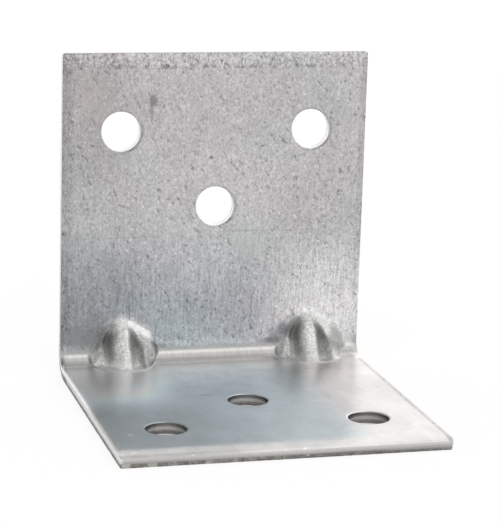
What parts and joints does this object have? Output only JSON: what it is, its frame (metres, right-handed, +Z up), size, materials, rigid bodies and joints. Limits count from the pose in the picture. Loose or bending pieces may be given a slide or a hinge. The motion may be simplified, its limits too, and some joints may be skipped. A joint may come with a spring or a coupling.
{
  "type": "corner brace bracket",
  "caption": "Right-angle bracket folded from one piece of galvanised sheet, with screw holes in both legs and ribs pressed across the bend.",
  "frame": {"origin": "middle of the bounding box in X and Y, on the underside of the base leg", "axes": "+Z up along the upright leg, +Y towards its back face at the wall, X across the bracket's width"},
  "size_m": [0.04, 0.039, 0.0418],
  "materials": {
    "galvanised_steel": "hot-dip galvanised: matt mottled zinc on the upright, smoother satin zinc on the base, sheared bare edges"
  },
  "bodies": {
    "root": {"bracket": "galvanised_steel"}
  },
  "joints": []
}
